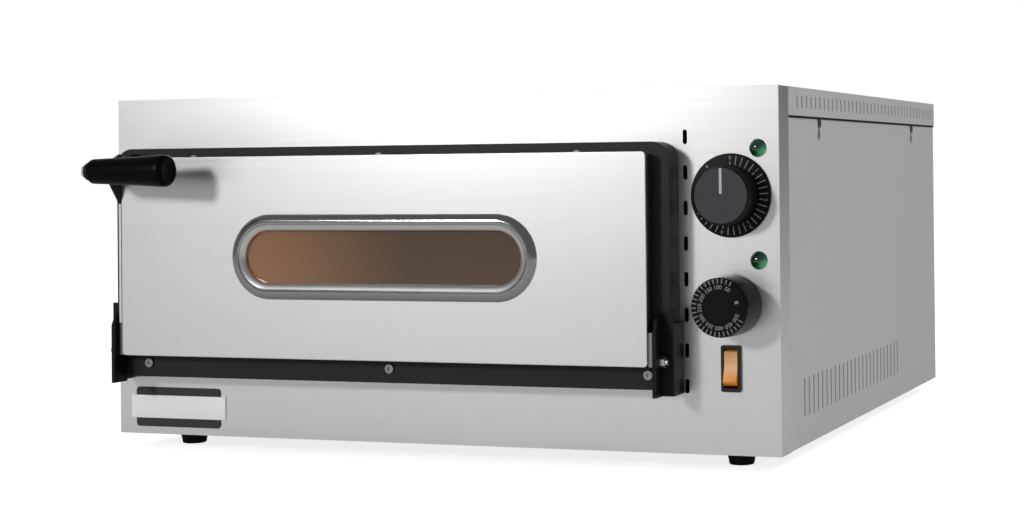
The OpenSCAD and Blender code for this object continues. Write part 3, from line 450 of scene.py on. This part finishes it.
low_x, _, low_z = corners("lower_knob")[2]
low_face = corners("lower_knob")[0][1]
low_depth = 28.5
gloss_black = finish("lower_knob_plastic", (4, 4, 5), 0, 0.26, grain=(500, 500, 500), shine=0.16)
profile = [[3, -21.5], [3, 0], [22.2, 0], [22.8, 0.6], [22.7, 2.5], [22.1, 25],
           *arc(20.1, 26.8, 1.7, 0, 90), [20, low_depth], [0.2, low_depth]]
rings = turned(profile, (low_x, low_face + low_depth, low_z), (0, -1, 0), 192, ribs=60, rib_depth=0.25)
place("lower_knob_body", *shell(rings), gloss_black, "lower_knob_black", "lower_knob", "lower_knob")
first_turn = 27
marks = strokes(np.linspace(first_turn, -240, 28), 17.6, 20.9, 0.8, (low_x, low_z), low_face)
place("lower_knob_strokes", *marks, print_grey, "lower_knob_black", "lower_knob")
for i in range(10):
    number(str(50 * (i + 1)), first_turn - i * 29.7, 14.6, 3.1, (low_x, low_z), low_face,
           f"lower_knob_number_{i + 1}", print_grey, "lower_knob_black", "lower_knob")
marks = strokes([74], 12.6, 15.4, 2.0, (low_x, low_z), low_face)
place("lower_knob_off_mark", *marks, print_grey, "lower_knob_black", "lower_knob")

# ---- Pilot lights ----
# Domed lenses moulded from clear green plastic, one piece with their lamp
# bodies, which push into holes in the front panel.


def blend(material, amount, first, second):
    """The base colour goes from first, where amount is 0, to second, where amount is 1."""
    nodes = material.node_tree.nodes
    links = material.node_tree.links
    tint = nodes.new("ShaderNodeMix")
    tint.data_type = "RGBA"
    tint.inputs["A"].default_value = screen(*first)
    tint.inputs["B"].default_value = screen(*second)
    links.new(amount, tint.inputs["Factor"])
    links.new(tint.outputs["Result"], nodes["Principled BSDF"].inputs["Base Color"])


lens_green = finish("lens_green", (10, 84, 56), 0, 0.08, vary=0.02, relief=0.0)
lens_green.node_tree.nodes["Principled BSDF"].inputs["Coat Weight"].default_value = 0.8
painted_rim_light = lens_green.node_tree.nodes.new("ShaderNodeAttribute")
painted_rim_light.attribute_name = "painted_rim_light"
blend(lens_green, painted_rim_light.outputs["Fac"], (6, 46, 32), (70, 200, 140))
lens_radius = 6.75
for which in ("upper", "lower"):
    x, _, z = corners(which + "_pilot_light")[2]
    profile = [[4.5, -18], [4.5, -0.4], [lens_radius, 0.02], *arc(0, -2.81, 7.31, 22.6, 89.0, 16)]
    rings = turned(profile, (x, panel_front, z), (0, -1, 0), 64)
    lens = place(which + "_lens", *shell(rings), lens_green, "green_lens", "housing", which + "_pilot_light")
    # painted light: the lens's lower right rim is painted pale green, standing in for light gathering there;
    # the amount is the square of how far a point lies that way
    points = rings.reshape(-1, 3)
    lean = ((points[:, 0] - x) - (points[:, 2] - z)) / (lens_radius * np.sqrt(2))
    lens.data.attributes.new("painted_rim_light", "FLOAT", "POINT").data.foreach_set("value", np.clip(lean, 0, 1) ** 2)

# ---- Switch ----
# A dark moulded bezel snapped into the panel round an orange rocker, which
# rests with its upper end pressed in.

switch_black = finish("switch_black", (34, 32, 30), 0, 0.4, grain=(400, 400, 400), shine=0.3)
crisp("switch_bezel", "switch_surround", switch_black, "housing", edge=0.5)
orange = finish("rocker_orange", (232, 150, 60), 0, 0.22, grain=(300, 300, 300), vary=0.03, relief=0.01)
nodes = orange.node_tree.nodes
links = orange.node_tree.links
nodes["Principled BSDF"].inputs["Coat Weight"].default_value = 0.5


def along(material, axis, start, end, easing="LINEAR"):
    """An amount that goes from 0 at start to 1 at end, both in metres along an axis of the frame."""
    nodes = material.node_tree.nodes
    links = material.node_tree.links
    where = nodes.new("ShaderNodeTexCoord")
    part = nodes.new("ShaderNodeSeparateXYZ")
    links.new(where.outputs["Object"], part.inputs["Vector"])
    band = nodes.new("ShaderNodeMapRange")
    band.interpolation_type = easing
    band.inputs["From Min"].default_value = start
    band.inputs["From Max"].default_value = end
    links.new(part.outputs[axis], band.inputs["Value"])
    return band.outputs["Result"]


# painted glow: the cap's colour runs from its lower end to its upper end, palest at the middle, standing in
# for the lamp inside shining through
painted_glow_ramp = nodes.new("ShaderNodeValToRGB")
painted_glow_ramp.color_ramp.elements[0].color = screen(228, 132, 18)
painted_glow_ramp.color_ramp.elements[1].color = screen(206, 146, 60)
painted_glow_ramp.color_ramp.elements.new(0.2).color = screen(232, 140, 30)
painted_glow_ramp.color_ramp.elements.new(0.5).color = screen(236, 182, 134)
painted_glow_ramp.color_ramp.elements.new(0.75).color = screen(222, 172, 118)
links.new(along(orange, "Z", 0.062, 0.090), painted_glow_ramp.inputs["Fac"])
links.new(painted_glow_ramp.outputs["Color"], nodes["Principled BSDF"].inputs["Base Color"])
crisp("rocker", "rocker_cap", orange, "switch_rocker", edge=1.3)

# ---- Badge ----
# A dark plastic plate with a pale band across it, plain on both, glued low on the
# left of the front panel.

badge_dark = finish("badge_dark", (50, 50, 51), 0, 0.45, grain=(300, 300, 300), shine=0.3)
crisp("badge_plate", "badge_plate_dark", badge_dark, "housing", edge=0.25)
band_white = finish("badge_band", (240, 240, 238), 0, 0.4, grain=(300, 300, 300))


def rounded_slab(x, z, y, corner, edge=0.15, steps=8):
    """Rings of a flat plate with round corners, seen along Y: outline points at corner radius, the front
    ring drawn in by edge. x, z and y are (low, high), with y[0] the front."""
    a = np.radians(np.linspace(0, 90, steps))
    quarter = np.stack([np.cos(a), np.sin(a)], 1)
    turn = np.array([[0, -1], [1, 0]])
    quarters = [quarter @ np.linalg.matrix_power(turn.T, k) for k in range(4)]
    middle = np.array([(x[0] + x[1]) / 2, (z[0] + z[1]) / 2])
    half = np.array([(x[1] - x[0]) / 2, (z[1] - z[0]) / 2])
    sign = np.array([[1, 1], [-1, 1], [-1, -1], [1, -1]])

    def outline(inset):
        radius = max(corner - inset, 0.05)
        return np.concatenate([middle + sign[k] * (half - inset - radius) + quarters[k] * radius
                               for k in range(4)])

    rows = [(y[1], 0), (y[0] + edge, 0), (y[0] + edge * 0.3, edge * 0.3), (y[0], edge)]
    return np.stack([np.insert(outline(inset), 1, level, axis=1) for level, inset in rows])


plate_low, plate_high, _ = corners("badge_plate")
band_x = (plate_low[0] - 4.4, plate_high[0] + 4.8)
band_z = (plate_low[2] + 7, plate_high[2] - 6.6)
band_y = (plate_low[1] - 0.3, panel_front - 0.02)
place("badge_band", *shell(rounded_slab(band_x, band_z, band_y, 1.2)), band_white, "badge_grey", "housing")

# ---- Door ----
# A brushed stainless skin folded round a black inner panel, with wool between
# them and a silicone seal towards the frame.

crisp("door_skin", "door_skin_sheet", brushed, "door", edge=0.25, bend=1.2)
crisp("door_inner_panel", "door_inner_tray", frame_paint, "door", edge=0.25, bend=0.8)
silicone = finish("seal_silicone", (22, 22, 22), 0, 0.6, grain=(300, 300, 300), shine=0.25)
crisp("door_seal", "door_seal_ring", silicone, "door", edge=0.5)
dress(silicone, "silicone", "glass_gasket")

# ---- Window ----
# A polished pressed bezel, straight-sided with round ends, and the satin lip
# rolled inside it hold two panes of bronze-tinted glass.

# painted shade: the bezel's steel is given a darker colour than the lip's, standing in for the dark its
# polished band mirrors
polished = finish("polished_steel", (156, 157, 155), 1, 0.14, grain=(60, 60, 60), vary=0.02, relief=0.0)
door_front = corners("door_skin")[0][1]
window_x, _, window_z = corners("window_bezel")[2]
half_straight = 97.0
glass_edge = 20.5
crown = [[4.5 + 8 * t, 3.5 + 0.5 * np.sin(np.pi * t * 0.8) - 3.5 * t ** 2.6]
         for t in np.linspace(0.02, 1, 14)]
bezel_section = np.array([[4.7, -1.2], [4.7, 3.2], *crown, [12.5, 0.0], [8.0, 0.0], [8.0, -1.2]])
lip_section = np.array([[0.0, -1.2], [0.0, 1.2], [0.4, 1.8], [1.2, 2.4], [2.6, 3.1], [4.2, 3.7], [4.65, 3.4],
                        [4.65, -1.2]])


def window_ring(section, end_steps=49, run_steps=39):
    """Rings of a section swept round the window: half a circle, a straight run, half a circle, a straight
    run. A section row is (distance out from the glass's edge, height above the door); a point is the
    half circle's centre, or its place on the run, plus normal * distance from the window's middle line."""
    a = np.radians(np.linspace(-90, 90, end_steps))
    right_end = np.stack([np.cos(a), np.sin(a)], 1)
    run = np.linspace(half_straight, -half_straight, run_steps + 2)[1:-1]
    top_run = np.stack([run, 0 * run], 1)
    centre = np.tile([half_straight, 0.0], (end_steps, 1))
    up = np.tile([0.0, 1.0], (run_steps, 1))
    normals = np.concatenate([right_end, up, -right_end, -up])
    middles = np.concatenate([centre, top_run, -centre, -top_run])
    reach = glass_edge + section[:, 0]
    flat = middles[:, None, :] + normals[:, None, :] * reach[None, :, None]
    depth = np.broadcast_to(door_front - section[:, 1], flat.shape[:2])
    return np.stack([flat[..., 0] + window_x, depth, flat[..., 1] + window_z], -1)


place("window_bezel_ring", *shell(window_ring(bezel_section), loop=True), polished, "polished_steel", "door",
      "window_bezel")
# painted light: the lip is the same steel as the bezel, given a paler colour for the light it catches
lip_steel_painted_light = finish("lip_steel_painted_light", (206, 206, 204), 1, 0.3, grain=(60, 60, 60), vary=0.02, relief=0.0)
place("window_bezel_lip", *shell(window_ring(lip_section), loop=True), lip_steel_painted_light, "polished_steel", "door")

bronze = finish("bronze_glass", (126, 92, 70), 0.3, 0.16, grain=(8, 8, 8), vary=0.02, relief=0.0)
# painted light: the glass is paler on the left and darker towards the right, standing in for the light and
# reflections on it
blend(bronze, along(bronze, "X", -0.15, 0.01, "SMOOTHSTEP"), (152, 112, 82), (92, 74, 60))
crisp("outer_glass", "outer_pane", bronze, "door", edge=0.3)
crisp("inner_glass", "inner_pane", bronze, "door", edge=0.3)

# ---- Hinge leaves ----
# Small stainless angles on the door's lower corners, which turn on the bolts,
# and a bright strip up the door's left edge, from its leaf to the handle.

leaf_steel = finish("leaf_steel", (142, 142, 141), 1, 0.34, grain=(200, 200, 200), vary=0.06)
crisp("hinge_leaves", "hinge_leaf_angles", leaf_steel, "door", edge=0.25)
door_left = corners("door_skin")[0][0]
leaf_top = corners("hinge_leaves")[1][2]
handle_foot = 200
strip_x = (door_left - 3.2, door_left - 0.7)
strip_y = (door_front + 0.5, door_front + 8)
strip_z = (leaf_top + 0.6, handle_foot)
place("door_edge_strip", *shell(bar(strip_x, strip_y, strip_z, 0.6)), brushed, "stainless_front", "door")

# ---- Handle ----
# A black bakelite grip, thicker towards its rounded free end, screwed to a
# painted steel bracket at the door's upper left corner.

crisp("handle_bracket", "handle_bracket_plate", plate_paint, "door", edge=0.5)
bakelite = finish("grip_bakelite", (3, 3, 3), 0, 0.36, grain=(350, 350, 350), vary=0.05, shine=0.06)
profile = [[3.05, 0], [6.2, 0], *arc(6.6, 3.1, 3.1, 280, 358, 8), [10.3, 20], [11.3, 44], [12.4, 62],
           *arc(8.9, 66.4, 3.6, 8, 90, 8), [8, 70], [7, 69.5], [0.2, 69.4]]
grip_low, _, grip_middle = corners("handle_grip")
rings = turned(profile, (grip_low[0], grip_middle[1], grip_middle[2]), (1, 0, 0), 96)
place("handle_grip_turned", *shell(rings), bakelite, "grip_bakelite", "door", "handle_grip")

# ---- Floor, light and camera ----
# A plain pale floor under soft studio light, with one lamp in front, to the
# left, and one high on the right. The camera stands where the photograph's did.

far = 9
floor_mesh = bpy.data.meshes.new("floor")
floor_mesh.from_pydata([(-far, -far, 0), (far, -far, 0), (far, far, 0), (-far, far, 0)], [], [(0, 1, 2, 3)])
floor = bpy.data.objects.new("floor", floor_mesh)
bpy.context.scene.collection.objects.link(floor)


def seen_directly(tree, mirrored):
    """1 for rays from the camera or through glass, mirrored for rays mirrored by metal and gloss, else 0."""
    path = tree.nodes.new("ShaderNodeLightPath")
    gloss = tree.nodes.new("ShaderNodeMath")
    gloss.operation = "MULTIPLY"
    gloss.inputs[1].default_value = mirrored
    first = tree.nodes.new("ShaderNodeMath")
    first.operation = "MAXIMUM"
    second = tree.nodes.new("ShaderNodeMath")
    second.operation = "MAXIMUM"
    tree.links.new(path.outputs["Is Glossy Ray"], gloss.inputs[0])
    tree.links.new(path.outputs["Is Camera Ray"], first.inputs[0])
    tree.links.new(gloss.outputs["Value"], first.inputs[1])
    tree.links.new(first.outputs["Value"], second.inputs[0])
    tree.links.new(path.outputs["Is Transmission Ray"], second.inputs[1])
    return second.outputs["Value"]


def ranged(tree, value, start, end, low, high):
    """low where value is start or before it, high from end on, and a straight line between them. low and
    high are numbers or the outputs of other nodes."""
    node = tree.nodes.new("ShaderNodeMapRange")
    node.inputs["From Min"].default_value = start
    node.inputs["From Max"].default_value = end
    tree.links.new(value, node.inputs["Value"])
    for name, amount in (("To Min", low), ("To Max", high)):
        if isinstance(amount, bpy.types.NodeSocket):
            tree.links.new(amount, node.inputs[name])
        else:
            node.inputs[name].default_value = amount
    return node.outputs["Result"]


# the floor takes shadows as mid grey and is lifted to white where the camera looks at it
pale = bpy.data.materials.new("pale_floor")
pale.use_nodes = True
shader = pale.node_tree.nodes["Principled BSDF"]
shader.inputs["Base Color"].default_value = (0.45, 0.45, 0.45, 1)
shader.inputs["Roughness"].default_value = 0.9
shader.inputs["Emission Color"].default_value = (1, 1, 1, 1)
lift = ranged(pale.node_tree, seen_directly(pale.node_tree, 0.1), 0, 1, 0, 0.81)
pale.node_tree.links.new(lift, shader.inputs["Emission Strength"])
floor_mesh.materials.append(pale)


def towards(tree, direction):
    """How far a ray of the world points along a direction: the product of the two, 1 when they agree."""
    where = tree.nodes.new("ShaderNodeTexCoord")
    dot = tree.nodes.new("ShaderNodeVectorMath")
    dot.operation = "DOT_PRODUCT"
    dot.inputs[1].default_value = direction
    tree.links.new(where.outputs["Generated"], dot.inputs[0])
    return dot.outputs["Value"]


# the camera and glass see plain white; metal and gloss see that white behind the object and a dim
# room elsewhere, darkest behind it on the right; everything else takes the room's even light
world = bpy.data.worlds.new("studio")
bpy.context.scene.world = world
world.use_nodes = True
tree = world.node_tree
white = 1.0
room_light = 0.6
dim_room = ranged(tree, towards(tree, (0.35, 0.937, 0.0)), 0.4, 0.95, 0.22, 0.05)
reflected = ranged(tree, towards(tree, (-0.42, 0.907, 0.0)), 0.75, 0.95, dim_room, white)
glossy = tree.nodes.new("ShaderNodeLightPath").outputs["Is Glossy Ray"]
unseen = ranged(tree, glossy, 0, 1, room_light, reflected)
strength = ranged(tree, seen_directly(tree, 0.0), 0, 1, unseen, white)
tree.nodes["Background"].inputs["Color"].default_value = (1, 1, 1, 1)
tree.links.new(strength, tree.nodes["Background"].inputs["Strength"])


def lamp(name, at, aim, width, power):
    """A soft square lamp at a point, facing another. Its power is in watts."""
    data = bpy.data.lights.new(name, "AREA")
    data.shape = "SQUARE"
    data.size = width
    data.energy = power
    light = bpy.data.objects.new(name, data)
    light.location = at
    light.rotation_mode = "QUATERNION"
    light.rotation_quaternion = (Vector(aim) - Vector(at)).to_track_quat("-Z", "Y")
    light.visible_camera = False
    bpy.context.scene.collection.objects.link(light)
    return light


lamp("key", (-1.1, -2.46, 0.98), (0, -0.2, 0.15), width=0.34, power=24)
lamp("fill", (1.9, -0.2, 1.9), (0.25, 0, 0.12), width=0.9, power=32).visible_glossy = False

# the place, the turns and the lens come from a fit to corners of the photograph; the camera looks
# straight at this pixel of the picture, counted from its upper left corner
picture = (1024, 525)
looks_at = (780, 145)
camera_place = (0.68805, -1.52697, 0.22617)
yaw, pitch, roll = np.radians([17.26612, 0.58132, -0.61954])
ahead = np.array([-np.sin(yaw) * np.cos(pitch), np.cos(yaw) * np.cos(pitch), np.sin(pitch)])
level_right = np.array([np.cos(yaw), np.sin(yaw), 0])
level_up = np.cross(level_right, ahead)
right = level_right * np.cos(roll) + level_up * np.sin(roll)
above = -level_right * np.sin(roll) + level_up * np.cos(roll)
camera_data = bpy.data.cameras.new("camera")
camera_data.sensor_fit = "HORIZONTAL"
camera_data.sensor_width = 36
camera_data.lens = 65.4195
camera_data.shift_x = (picture[0] / 2 - looks_at[0]) / picture[0]
camera_data.shift_y = (looks_at[1] - picture[1] / 2) / picture[0]
camera = bpy.data.objects.new("camera", camera_data)
turn = Matrix(np.stack([right, above, -ahead], 1).tolist()).to_4x4()
camera.matrix_world = Matrix.Translation(camera_place) @ turn
bpy.context.scene.collection.objects.link(camera)
bpy.context.scene.camera = camera
bpy.context.scene.view_settings.view_transform = "Standard"
